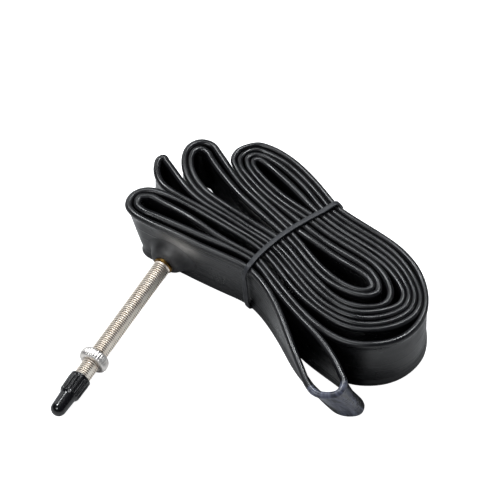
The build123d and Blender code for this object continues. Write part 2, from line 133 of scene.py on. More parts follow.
# %% Lean of the loose folds, mm
LEAN = {
    ("left", 1): [(0, 2.0), (0.3, 2.3), (0.8, 2.4), (2.6, 2.2), (5, 1.6), (7.4, 1), (8, 0.3),
                  (6.6, -1), (3.6, -1.2), (1.6, -0.8), (0.6, -0.3), (0, 0), (0, 0)],
    ("left", 2): [(0, 0.8), (0.4, 0.9), (1, 1), (3, 0.9), (5.6, 0.6), (6.6, 0.2), (6, -0.2),
                  (3.4, -0.4), (1.4, -0.3), (0.5, -0.2), (0, 0), (0, 0), (0, 0)],
    ("left", 7): [(0, 0), (0, 0), (0, 0), (0, 0), (0, 0), (0, 0), (0, 0.3), (0, 0.8), (0, 1.6),
                  (0.2, 2.8), (0.4, 3.9), (0.4, 3.2), (0, 1.0), (0, 0), (0, 0)],
    ("left", 8): [(0, 0), (0, 0), (0, 0), (0, 0), (0, 0), (0, 0.3), (0, 0.8), (0, 1.6), (0.2, 2.8),
                  (0.4, 3.9), (0.4, 3.0), (0, 1.0), (0, 0), (0, 0)],
    ("right", 1): [(0, 2), (0.5, 2.2), (1.2, 2.4), (1.6, 3), (2.6, 4.8), (3.8, 7.4), (4.9, 9.8),
                   (5.5, 10.8), (4.7, 10.9), (3.2, 10.5), (2.3, 9.4), (1, 7.4), (0.6, 4.8), (0.3, 2.6),
                   (0.1, 1.4), (0, 0.7), (0, 0.4), (0, 0.2)],
}
WAIST_LEAN = {1: 2.0, 2: 0.5}  # lean in y where lanes 1 and 2 pass under the band, mm
FLAT_WIDTH = 25.0


def fold_from(table, lane):
    """The fold that leaves a lane: lane reached, points, first lane of its row, whether it is walked backwards."""
    for first, last, points in table:
        if lane == first:
            return last, points, first, False
        if lane == last:
            return first, points[::-1], first, True


def walk():
    """Route points (n, 2) and lean vectors (n, 2), in walking order."""
    points, leans, lane = [], [], 1
    while True:
        for side, table in (("right", RIGHT_FOLDS), ("left", LEFT_FOLDS)):
            points.append(WAIST[lane - 1])
            leans.append((0, WAIST_LEAN.get(lane, 0)))
            lane, fold, row, back = fold_from(table, lane)
            given = LEAN.get((side, row), [(0, 0)] * len(fold))
            points += fold
            leans += given[::-1] if back else given
        if lane == 1:
            return np.array(points, float), np.array(leans, float)


ROUTE, ROUTE_LEAN = walk()
print("route points", len(ROUTE), "lanes", len(WAIST))

# %% [markdown]
# A smooth closed curve goes through the points. Each piece between two points is a Hermite cubic whose end
# slopes come from the circle through a point and its two neighbours, the same rule that the CAD arcs use.
# The curve is then cut into steps that are shorter in the bends, so that tight folds stay round without a heavy
# mesh on the straights.

# %% Smooth curve through the points
def unit(v):
    """Rows of v, each scaled to length one."""
    return v / np.linalg.norm(v, axis=-1, keepdims=True)


def closed_curve(points, extra, step, care=0.0):
    """Stations along a closed smooth curve, with `extra` columns carried along.

    With chord c = |q - p| and unit slopes s and e, a piece is
    h00 p + h10 c s + h01 q + h11 c e, the cubic Hermite blend. Stations are `step` apart where the curve runs
    straight, and closer in bends: length plus care times the turn in radians grows evenly from one to the next.
    Returns positions, extras, and the distance of each station along the ring, with the whole length last."""
    onward = np.roll(points, -1, 0) - points
    chord = np.linalg.norm(onward, axis=1, keepdims=True)
    behind, before = np.roll(onward, 1, 0), np.roll(chord, 1, 0)
    slope = unit(behind / before * chord + onward / chord * before)
    t = np.linspace(0, 1, 24, endpoint=False)[None, :, None]
    p, q = points[:, None], np.roll(points, -1, 0)[:, None]
    s, e, c = slope[:, None], np.roll(slope, -1, 0)[:, None], chord[:, None]
    fine = ((1 + 2 * t) * (1 - t) ** 2 * p + t * (1 - t) ** 2 * c * s
            + t * t * (3 - 2 * t) * q + t * t * (t - 1) * c * e).reshape(-1, points.shape[1])
    ease = t * t * (3 - 2 * t)
    carried = ((1 - ease) * extra[:, None] + ease * np.roll(extra, -1, 0)[:, None]).reshape(-1, extra.shape[1])
    piece = np.roll(fine, -1, 0) - fine
    length = np.linalg.norm(piece, axis=1)
    turn = np.linalg.norm(unit(np.roll(piece, -1, 0)) - unit(piece), axis=1)
    run = np.concatenate([[0], np.cumsum(length)])
    effort = np.concatenate([[0], np.cumsum(length + care * turn)])
    at = np.linspace(0, effort[-1], int(round(effort[-1] / step)), endpoint=False)
    columns = np.column_stack([np.vstack([fine, fine[:1]]), np.vstack([carried, carried[:1]]), run])
    found = np.stack([np.interp(at, effort, column) for column in columns.T], 1)
    width = points.shape[1]
    return found[:, :width], found[:, width:-1], np.append(found[:, -1], run[-1])


def smooth_ring(values, width):
    """Running average of a closed row of numbers over `width` stations each way (a bell weight)."""
    offsets = np.arange(-3 * width, 3 * width + 1)
    bell = np.exp(-0.5 * (offsets / width) ** 2)
    bell /= bell.sum()
    return sum(w * np.roll(values, o, 0) for w, o in zip(bell, offsets))


def slow_noise(run, waves, size):
    """Smooth closed noise at distances `run` along the ring: a seeded sum of sines, rms close to `size`."""
    order = rng.integers(max(1, waves // 3), waves, 14)
    phase = rng.uniform(0, 2 * np.pi, 14)
    return size * np.sin(order * (2 * np.pi * run[:-1, None] / run[-1]) + phase).sum(1) / math.sqrt(7)


def bend_of(line, run):
    """Curvature, 1 / mm, of a closed plan line: the turn between the pieces on both sides over their length."""
    way = unit(np.roll(line, -1, 0) - line)
    before = np.roll(way, 1, 0)
    spacing = np.diff(run)
    return np.abs(before[:, 0] * way[:, 1] - before[:, 1] * way[:, 0]) / (0.5 * (spacing + np.roll(spacing, 1)))


# %% Stations of the ring
STEP, CARE = 1.04, 3.0
centre, lean, run = closed_curve(ROUTE, ROUTE_LEAN, STEP, CARE)
hold = np.clip(smooth_ring(bend_of(centre, run), 3)[:, None] / 0.12, 0, 1)
centre = hold * centre + (1 - hold) * smooth_ring(centre, 3)
lean = smooth_ring(lean, 5)
COUNT, LENGTH = len(centre), run[-1]
tube_low, tube_high = (np.array(v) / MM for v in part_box("tube"))
shift = (tube_low[:2] + tube_high[:2]) / 2 - (centre.min(0) + centre.max(0)) / 2
print("ring length", round(LENGTH), "mm in", COUNT, "stations; moved into the frame by", shift.round(2))

# %% [markdown]
# ## A surface from a grid
# Every new piece is a grid of points, `rows x columns`, whose last row or column may join up with the first.
# Faces and texture coordinates come from index arithmetic, so there is no loop over vertices.

# %% Grid surfaces
def grid_mesh(name, grid, close_rows=False, close_cols=True, uv_size=(1.0, 1.0), caps=False, attributes=None,
              u_at=None):
    """A mesh from grid (rows, cols, 3) in millimetres.

    Corner (i, j) of a face is at texture place (u_at[i], j * uv_size[1] / cols), in metres, so a seam keeps its
    pattern; without u_at the rows are even over uv_size[0]. `caps` closes both ends of a tube with a fan round
    the middle point of each end ring."""
    rows, cols = grid.shape[:2]
    i = np.arange(rows if close_rows else rows - 1)[:, None]
    j = np.arange(cols if close_cols else cols - 1)[None]
    ring = lambda a, b: (a % rows) * cols + (b % cols)
    quads = np.stack([ring(i, j), ring(i + 1, j), ring(i + 1, j + 1), ring(i, j + 1)], -1).reshape(-1, 4)
    du = np.stack([i + 0 * j, i + 1 + 0 * j, i + 1 + 0 * j, i + 0 * j], -1).reshape(-1)
    dv = np.stack([j + 0 * i, j + 0 * i, j + 1 + 0 * i, j + 1 + 0 * i], -1).reshape(-1)
    points = grid.reshape(-1, 3) * MM
    corners, starts = quads.reshape(-1), np.arange(0, len(quads) * 4, 4)
    u_at = np.arange(rows + 1) * uv_size[0] / rows if u_at is None else u_at
    uv = np.stack([u_at[du], dv * uv_size[1] / cols], -1)
    if caps:
        last = len(points)
        points = np.vstack([points, grid[0].mean(0) * MM, grid[-1].mean(0) * MM])
        a, b = np.arange(cols), (np.arange(cols) + 1) % cols
        first_fan = np.stack([np.full(cols, last), a, b], -1)
        last_fan = np.stack([np.full(cols, last + 1), (rows - 1) * cols + b, (rows - 1) * cols + a], -1)
        fans = np.vstack([first_fan, last_fan])
        starts = np.concatenate([starts, len(corners) + np.arange(0, len(fans) * 3, 3)])
        corners = np.concatenate([corners, fans.reshape(-1)])
        uv = np.vstack([uv, np.zeros((len(fans) * 3, 2))])
    mesh = bpy.data.meshes.new(name)
    mesh.vertices.add(len(points))
    mesh.vertices.foreach_set("co", points.astype(np.float32).ravel())
    mesh.loops.add(len(corners))
    mesh.loops.foreach_set("vertex_index", corners.astype(np.int32))
    mesh.polygons.add(len(starts))
    mesh.polygons.foreach_set("loop_start", starts.astype(np.int32))
    layer = mesh.uv_layers.new(name="UVMap")
    layer.data.foreach_set("uv", uv.astype(np.float32).ravel())
    for key, values in (attributes or {}).items():
        padded = np.concatenate([values.ravel(), np.zeros(len(points) - values.size)])
        mesh.attributes.new(key, "FLOAT", "POINT").data.foreach_set("value", padded.astype(np.float32))
    mesh.update(calc_edges=True)
    mesh.validate()
    mesh.polygons.foreach_set("use_smooth", np.ones(len(mesh.polygons), bool))
    piece = bpy.data.objects.new(name, mesh)
    bpy.context.scene.collection.objects.link(piece)
    print(name, "vertices", len(mesh.vertices), "faces", len(mesh.polygons))
    return piece


# %% [markdown]
# ## The flat tube
# Across the tube, the section is two walls pressed together that swell into a round lip at each folded edge. The
# lip swells as far as the next lane leaves it room. A curve object with a bevel would give one section all the
# way; a grid of points lets the lips swell, the faces lean and the walls sway.
# At a station the lower edge lies `lean` away from the upper edge in plan. The width stays the same, so the
# upper edge drops to `sqrt(width^2 - lean^2)`.

# %% Section of the pressed tube
WALL_HALF, NECK = 0.52, 0.14
LIP_LEAST, LIP_MOST = 0.72, 1.25


def room_beside(line, run, apart=6.0):
    """For each station, the distance in plan to the nearest station that is over `apart` mm away along the ring."""
    gap = np.linalg.norm(line[:, None] - line[None], axis=2)
    along_ring = np.abs(run[:-1, None] - run[None, :-1])
    along_ring = np.minimum(along_ring, run[-1] - along_ring)
    return np.where(along_ring > apart, gap, np.inf).min(1)


def sections(lip_half, width, faces=14, lip=11):
    """Section points of every station: (along the width, across it), a ring up one face, over the lip and down.

    With d the distance from the nearer lip's middle and r its half thickness, half thickness =
    WALL_HALF + (r - WALL_HALF) exp(-(d / 1.3)^2) - NECK exp(-((d - 2.6) / 0.8)^2)."""
    r = lip_half[:, None]
    even = np.linspace(0, 1, faces)
    t = (0.5 - 0.5 * np.cos(np.pi * even))[None]
    rise_in = r + (width - 2 * r) * t
    near = (width - 2 * r) * np.minimum(t, 1 - t)
    half = WALL_HALF + (r - WALL_HALF) * np.exp(-(near / 1.3) ** 2) - NECK * np.exp(-((near - 2.6) / 0.8) ** 2)
    arc = np.linspace(0, np.pi, lip + 2)[None, 1:-1]
    along = np.hstack([rise_in, width - r + r * np.sin(arc), rise_in[:, ::-1], r - r * np.sin(arc)])
    across = np.hstack([half, r * np.cos(arc), -half[:, ::-1], -r * np.cos(arc)])
    return along, across


room = smooth_ring(room_beside(centre, run), 3)
lip_half = smooth_ring(np.clip(room / 2 - 0.04, LIP_LEAST, LIP_MOST), 2)
along, across = sections(lip_half, FLAT_WIDTH)
share = along / FLAT_WIDTH
print("section points", along.shape[1], "lips", (2 * lip_half.min()).round(2), "to",
      (2 * lip_half.max()).round(2), "mm across")

# %% [markdown]
# The upper edge of a leaning stretch sinks, and it also slides back a little, away from the side that its lower
# edge is tucked to. Slow seeded noise makes the lips rise and fall and the faces sway, as real rubber does, and
# where the tube rests on the floor it is pressed flat.

# %% Tube surface
SLIDE = np.array([-0.1, 0.17])
rise = np.sqrt(FLAT_WIDTH ** 2 - (lean ** 2).sum(1))
plan = centre + shift + (FLAT_WIDTH - rise)[:, None] * SLIDE
onward = unit(np.roll(plan, -1, 0) - np.roll(plan, 1, 0))
bend = smooth_ring(bend_of(centre, run), 3)
wave = slow_noise(run, 90, 0.10) + slow_noise(run, 30, 0.15)  # how far the lip rises, mm
sway = slow_noise(run, 120, 0.08)                             # how far the face bellies out, mm
top_edge = np.column_stack([plan, rise])
bottom_edge = np.column_stack([plan + lean, np.zeros(COUNT)])
upward = unit(top_edge - bottom_edge)
outward = unit(np.cross(np.column_stack([onward, np.zeros(COUNT)]), upward))
height = along + wave[:, None] * share ** 3
belly = sway[:, None] * np.sin(np.pi * share)
grid = (bottom_edge[:, None] + upward[:, None] * height[..., None]
        + outward[:, None] * (across + belly)[..., None])
grid[..., 2] = np.maximum(grid[..., 2], 0)

VALVE_X, FACE_Y = -36.8, -19.5


def dust(x, y, z):
    """Mould dust right of the valve, 0 to 1.4: a bell in x, y and z on the outer face of lane 1 (route frame)."""
    return 1.4 * np.exp(-((x - VALVE_X - 4.5) / 6.5) ** 2 - ((z - 18.0) / 4.0) ** 2 - ((y - FACE_Y) / 1.6) ** 2)


SPLICE_PLACE, SPLICE_HALF = np.array([42.6, -47.9]), 6.5
splice_at = run[np.argmin(np.linalg.norm(centre - SPLICE_PLACE, axis=1))]
from_splice = np.abs(run[:-1] - splice_at)[:, None]
SPLICE_SLANT, SPLICE_EDGE = 0.12, 0.7
splice = np.clip((SPLICE_HALF - from_splice + SPLICE_SLANT * (along - 12)) / SPLICE_EDGE, 0, 1)
tube = grid_mesh("tube_skin", grid, close_rows=True, u_at=run * MM, attributes={
    "bend": bend[:, None] * np.ones_like(grid[..., 0]),
    "lip": np.exp(-(np.minimum(along, FLAT_WIDTH - along) / 1.3) ** 2),
    "width": along * MM,
    "splice": splice,
    "dust": dust(grid[..., 0] - shift[0], grid[..., 1] - shift[1], grid[..., 2]),
})
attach(tube, "tube_and_valve")
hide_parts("tube")
print("tightest bend radius", round(1 / bend.max(), 2), "mm; highest lip", round(grid[..., 2].max(), 2), "mm")

# %% [markdown]
# ## The rubber band
# One stretched loop round the waist keeps the bundle together. Over the top it bows a little towards the folded
# ends, and at the front it turns a little on itself as it drops. It is a rounded strip carried along a closed
# path, like the tube, because a bevelled curve can't be twisted at one corner alone so easily.

# %% Band loop
near_lane, far_lane = np.array(WAIST[0]), np.array(WAIST[-1])
waist_way = unit(far_lane - near_lane)
waist_side = np.array([waist_way[1], -waist_way[0]])
reach = np.linalg.norm(far_lane - near_lane)
BAND = [  # distance along the waist from the first lane, bow to the side, height
    (-1.9, 0.0, 23.6), (-0.9, 0.2, 25.6), (2.5, -0.8, 25.7), (9, -1.9, 25.7), (18, -2.3, 25.7), (27, -1.6, 25.7),
    (34, -0.6, 25.7), (reach + 0.7, 0.2, 25.6), (reach + 1.7, 0.2, 23.8), (reach + 1.7, 0.2, 12.5),
    (reach + 1.6, 0, 2.2), (reach + 0.4, 0, 0.55), (27, 0, 0.55), (10, 0, 0.55), (1.6, 0, 0.55), (0.1, 0, 1.4),
    (-0.75, -0.2, 4.6), (-1.2, -0.4, 10), (-1.5, -0.6, 17),
]
loop = np.array([[*(near_lane + waist_way * a + waist_side * b), z] for a, b, z in BAND])
FRONT_TWIST = [0.0, 0.35, 0.8, 0.6]
twist_key = np.array([0.1] + [0.0] * (len(BAND) - 1 - len(FRONT_TWIST)) + FRONT_TWIST)[:, None]
band_line, band_twist, band_run = closed_curve(loop, twist_key, 0.5, 0.5)
band_line[:, :2] += shift
band_ahead = unit(np.roll(band_line, -1, 0) - np.roll(band_line, 1, 0))
across_way = unit(np.cross(band_ahead, np.cross(np.array([*waist_way, 0.0]), np.array([0, 0, 1.0]))[None]))
across_way *= np.sign((across_way * (band_line - band_line.mean(0))).sum(1, keepdims=True))
flat_way = np.cross(band_ahead, across_way)
thick_way = across_way * np.cos(band_twist) + flat_way * np.sin(band_twist)
wide_way = flat_way * np.cos(band_twist) - across_way * np.sin(band_twist)
angle = np.linspace(0, 2 * np.pi, 28, endpoint=False)
rounded = lambda v: np.sign(v) * np.abs(v) ** 0.45
BAND_HALF_WIDTH, BAND_HALF_THICK = 0.9, 0.45
profile = np.stack([BAND_HALF_WIDTH * rounded(np.cos(angle)), BAND_HALF_THICK * rounded(np.sin(angle))], 1)
band_grid = (band_line[:, None] + wide_way[:, None] * profile[None, :, :1]
             + thick_way[:, None] * profile[None, :, 1:])
band_grid[..., 2] = np.maximum(band_grid[..., 2], 0.02)
band = grid_mesh("band_loop", band_grid, close_rows=True, uv_size=(0, 0.005), u_at=band_run * MM)
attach(band, "tube_and_valve")
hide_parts("rubber_band")
print("band loop", round(band_run[-1]), "mm round")

# %% [markdown]
# ## The valve
# The record's mount gives the valve's axis, and distances are measured along it from the face of the tube.
# The thread is a real helix: the radius depends on the distance and on the angle. Two narrow flats are milled
# along the stem, so a smooth strip runs down each side of the thread. A Screw modifier could wind the thread, but
# one radius function gives thread, flats and bore in a single closed surface.

# %% Valve frame
mount = next(m for m in record["mounts"] if m["name"] == "rim_valve_hole")
AXIS = unit(np.array(mount["axis"], float))
ORIGIN = np.array(mount["pos_m"], float) / MM - 7.6 * AXIS
SIDEWAYS = unit(np.cross(np.array([0, 0, 1.0]), AXIS))
UPWARD = np.cross(AXIS, SIDEWAYS)


def lathe(name, radius, distance, turns, uv_size, caps=False, attributes=None):
    """A closed round piece: radius and distance are (rows,) or (rows, turns), in mm along the valve axis."""
    theta = np.linspace(0, 2 * np.pi, turns, endpoint=False)[None]
    radius = np.broadcast_to(radius if np.ndim(radius) == 2 else np.asarray(radius)[:, None], (len(radius), turns))
    distance = np.broadcast_to(np.asarray(distance)[:, None], radius.shape)
    points = (ORIGIN + distance[..., None] * AXIS + (radius * np.cos(theta))[..., None] * SIDEWAYS
              + (radius * np.sin(theta))[..., None] * UPWARD)
    return grid_mesh(name, points, close_rows=not caps, uv_size=uv_size, caps=caps, attributes=attributes)


def along_profile(corners, spacing):
    """Points every `spacing` mm along a polyline of (radius, distance) corners, corners kept."""
    rows = []
    for (r0, d0), (r1, d1) in zip(corners[:-1], corners[1:]):
        n = max(1, int(math.hypot(r1 - r0, d1 - d0) / spacing))
        rows += [(r0 + (r1 - r0) * k / n, d0 + (d1 - d0) * k / n) for k in range(n)]
    return np.array(rows + [corners[-1]])


def thread(distance, theta, pitch, crest, depth):
    """Radius of a V thread: crest - depth * soft triangle of (distance / pitch - theta / 2 pi)."""
    place = np.mod(distance[:, None] / pitch - theta[None] / (2 * np.pi), 1.0)
    ramp = np.clip(np.abs(2 * place - 1) * 1.5 - 0.25, 0, 1)
    return crest - depth * ramp


TURNS = 72
PITCH, CREST, DEPTH = 0.8, 3.0, 0.40              # main thread
TIP_PITCH, TIP_CREST, TIP_DEPTH = 0.4, 2.6, 0.19  # finer thread under the cap
THREAD_START, THREAD_END, STEM_TOP = 4.5, 54.9, 59.5
PLAIN, BORE, FADE = 2.98, 1.72, 0.4               # plain radius, bore radius, length over which the thread starts
FLAT_AT, FLAT_ANGLE = 2.54, math.radians(28)
theta = np.linspace(0, 2 * np.pi, TURNS, endpoint=False)
d_main = np.arange(THREAD_START, THREAD_END, 0.08)
r_main = thread(d_main, theta, PITCH, CREST, DEPTH)
fade = np.clip(np.minimum(d_main - THREAD_START, THREAD_END - d_main) / FADE, 0, 1)[:, None]
r_main = PLAIN * (1 - fade) + r_main * fade
# a flat stands FLAT_AT from the axis, so the radius stays below FLAT_AT / |cos(angle from its middle)|
milled = FLAT_AT / np.maximum(np.abs(np.cos(theta - FLAT_ANGLE)), 0.5)[None]
# depth in a thread groove, 0 at the crest and 1 at the root; the stem's metal paints shade by it
root_main = np.where(r_main < milled, (CREST - r_main) / DEPTH, 0)
r_main = np.minimum(r_main, milled)
d_neck = np.arange(55.3, 59.4, 0.05)
r_neck = thread(d_neck, theta, TIP_PITCH, TIP_CREST, TIP_DEPTH)
inside = along_profile([(BORE, STEM_TOP), (BORE, 41.2), (BORE, 1.1)], 0.8)
outside = along_profile([(2.9, 1.1), (PLAIN, 1.3), (PLAIN, THREAD_START - 0.05)], 0.5)
rows_r = [np.repeat(outside[:, :1], TURNS, 1), r_main, np.full((1, TURNS), 2.62), r_neck, np.full((1, TURNS), 2.3),
          np.repeat(inside[:, :1], TURNS, 1)]
rows_d = [outside[:, 1], d_main, [54.95], d_neck, [STEM_TOP], inside[:, 1]]
roots = [0 * rows_r[0], root_main, 0 * rows_r[2], (TIP_CREST - r_neck) / TIP_DEPTH, 0 * rows_r[4], 0 * rows_r[5]]
stem = lathe("stem_thread", np.vstack(rows_r), np.concatenate(rows_d), TURNS, (0.06, 0.019),
             attributes={"root": np.vstack(roots)})
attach(stem, "tube_and_valve")
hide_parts("valve_stem")

# %% [markdown]
# The lock ring is a short barrel with rounded shoulders and fine grip grooves; the cap has a ribbed skirt and
# a smooth dome. Both are closed solids of revolution whose radius is dented by a wave round the axis. Cutting
# each groove with a boolean would leave untidy faces; the wave keeps an even grid.

# %% Lock ring and cap
R_TURNS = 168
t_ring = np.linspace(0, 2 * np.pi, R_TURNS, endpoint=False)
ring_corners = [(3.08, 45.3), (3.4, 45.02), (4.0, 45.0), (4.55, 45.15), (4.95, 45.5), (5.2, 46.0), (5.3, 46.6),
                (5.3, 47.4), (5.2, 48.0), (4.95, 48.5), (4.55, 48.85), (4.0, 49.0), (3.4, 48.98), (3.08, 48.7),
                (3.08, 45.3)]
ring_rows = along_profile(ring_corners, 0.18)[:-1]
GROOVES, GROOVE_DEPTH = 34, 0.2
grip = 0.5 + 0.5 * np.cos(GROOVES * t_ring)
dent = GROOVE_DEPTH * (1 - np.clip(grip * 1.4, 0, 1)) * np.clip((ring_rows[:, 0] - 4.3) / 0.6, 0, 1)[:, None]
ring = lathe("ring_knurled", ring_rows[:, :1] - dent, ring_rows[:, 1], R_TURNS, (0.02, 0.033))
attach(ring, "lock_ring")
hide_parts("lock_ring")

C_TURNS = 192
t_cap = np.linspace(0, 2 * np.pi, C_TURNS, endpoint=False)
nose, cap_tip = 2.71, 71.9
round_end = [(nose * math.cos(a), cap_tip - nose + nose * math.sin(a)) for a in np.linspace(0, math.pi / 2, 12)]
cap_corners = [(2.66, 55.5), (2.9, 55.34), (3.55, 55.32), (3.76, 55.5), (3.76, 56.1), (3.62, 56.3), (3.46, 62.6),
               (3.42, 63.0), (3.2, 63.3), (3.0, 63.5), (2.93, 63.9), (2.90, 64.6), *round_end]
outer_cap = along_profile(cap_corners, 0.22)
outer_cap[-1, 0] = 0.004
inner_cap = along_profile([(0.004, 68.9), (1.85, 68.9), (1.85, 61.7), (2.2, 61.6), (2.2, 60.5), (2.66, 60.4),
                           (2.66, 55.5)], 0.3)[:-1]
rows = np.vstack([outer_cap, inner_cap])
ribbed = np.clip((rows[:, 1] - 56.2) / 0.4, 0, 1) * np.clip((63.0 - rows[:, 1]) / 0.5, 0, 1)
ribbed[len(outer_cap):] = 0
RIBS, RIB_HEIGHT, RIB_SUNK = 16, 0.34, 0.14
rib = np.clip(0.5 + 0.9 * np.cos(RIBS * t_cap), 0, 1)
cap = lathe("cap_shell", rows[:, :1] + ribbed[:, None] * (RIB_HEIGHT * rib - RIB_SUNK), rows[:, 1], C_TURNS,
            (0.04, 0.024))
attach(cap, "cap")
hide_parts("valve_cap")

# %% [markdown]
# ## The rubber pad
# The valve is moulded into a pad on the face of the first lane. The pad is an oval that thins to a feather
# edge, with a raised boss round the brass foot. It could be sculpted; as a height above the face of the tube it
# follows the lean below it exactly.

# %% Pad
lane_one = np.nonzero((centre[:, 0] > -58) & (centre[:, 0] < 0) & (centre[:, 1] < -17.4))[0]
order = lane_one[np.argsort(centre[lane_one, 0])]
lane_x = centre[order, 0] + shift[0]


def face_depth(x, z):
    """Row y of the outer face of lane 1 at x and height z: top edge + lean * share of drop - half the wall."""
    top = np.interp(x, lane_x, centre[order, 1] + shift[1])
    tuck = np.interp(x, lane_x, lean[order, 1])
    return top + tuck * (1 - np.clip(z, 0, 25) / 25) - WALL_HALF


PAD_TURNS, PAD_RINGS = 96, 40
rho = np.linspace(1, 0.0, PAD_RINGS)[:, None]
phi = np.linspace(0, 2 * np.pi, PAD_TURNS, endpoint=False)[None]
HALF_X, HALF_Z = 11.0, 8.3
DOME, FEATHER, SUNK = 0.8, 0.3, 0.45                   # swell of the oval, dip of its edge, depth of its back
BOSS_RADIUS, BOSS_RISE, BOSS_EDGE = 6.4, 2.6, 0.65
px = ORIGIN[0] + 0.8 + HALF_X * rho * np.cos(phi)
pz = ORIGIN[2] + 0.2 + HALF_Z * rho * np.sin(phi)
from_axis = np.hypot(px - ORIGIN[0], pz - ORIGIN[2])
lean_gap = float(face_depth(ORIGIN[0], ORIGIN[2]) - ORIGIN[1])
boss = (BOSS_RISE + lean_gap) / (1 + np.exp((from_axis - BOSS_RADIUS) / BOSS_EDGE))
swell = DOME * (1 - rho ** 2) ** 1.6 + boss - FEATHER * rho ** 6
py_front = face_depth(px, pz) - swell
py_back = face_depth(px, pz) + SUNK
front = np.stack([px, py_front, pz], -1)
back = np.stack([px, py_back, pz], -1)[::-1]
pad_grid = np.concatenate([back, front])
dusty = dust(pad_grid[..., 0] - shift[0], FACE_Y, pad_grid[..., 2])
print("the leaning face lies", round(lean_gap, 2), "mm behind the valve's foot")
pad = grid_mesh("valve_pad", pad_grid, uv_size=(0.05, 0.08), caps=True, attributes={"dust": dusty})
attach(pad, "tube_and_valve")
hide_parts("valve_patch")

# %% [markdown]
# ## Materials
# One function turns a screen colour into linear light, and one adds a node with its settings and links.
# Patterns run in metres, from the piece's own texture coordinates or from Object coordinates.

# %% Material tools
def linear(code):
    """sRGB hex to linear RGBA: c / 12.92 below 0.04045, else ((c + 0.055) / 1.055) ^ 2.4."""
    c = np.array([int(code[k:k + 2], 16) for k in (1, 3, 5)]) / 255
    c = np.where(c <= 0.04045, c / 12.92, ((c + 0.055) / 1.055) ** 2.4)
    return (*[float(v) for v in c], 1.0)


def add(tree, kind, settings=None, **links):
    """Adds a node, sets its properties or input values, and links inputs from (node, output) pairs.

    A key in_0 means the input with that number, and stops holds a colour ramp's (place, sRGB hex) pairs."""
    made = tree.nodes.new(kind)
    for key, value in (settings or {}).items():
        if key == "stops":
            for _ in value[2:]:
                made.color_ramp.elements.new(0.5)
            for spot, (place, code) in zip(made.color_ramp.elements, value):
                spot.position, spot.color = place, linear(code)
        elif hasattr(made, key):
            setattr(made, key, value)
        else:
            made.inputs[int(key[3:]) if key.startswith("in_") else key].default_value = value
    for key, source in links.items():
        target = made.inputs[int(key[3:]) if key.startswith("in_") else key.replace("_", " ")]
        tree.links.new(source[0].outputs[source[1]], target)
    return made


def material(name, **surface):
    """A new material with its principled shader: returns (material, tree, shader)."""
    made = bpy.data.materials.new(name)
    made.use_nodes = True
    tree = made.node_tree
    shader = next(n for n in tree.nodes if n.type == "BSDF_PRINCIPLED")
    for key, value in surface.items():
        shader.inputs[key.replace("_", " ")].default_value = value
    return made, tree, shader


# %% [markdown]
# ### Butyl rubber
# Nearly black, with the soft shine of moulded rubber. Drawn streaks run along the tube, faint dust lies in
# cloudy patches, the lips are rubbed paler, and fine cross wrinkles show where a fold is tight. Long soft creases
# and a low mould line run along the face. At the splice the rubber is a paler, bluer grey with a slanting edge.

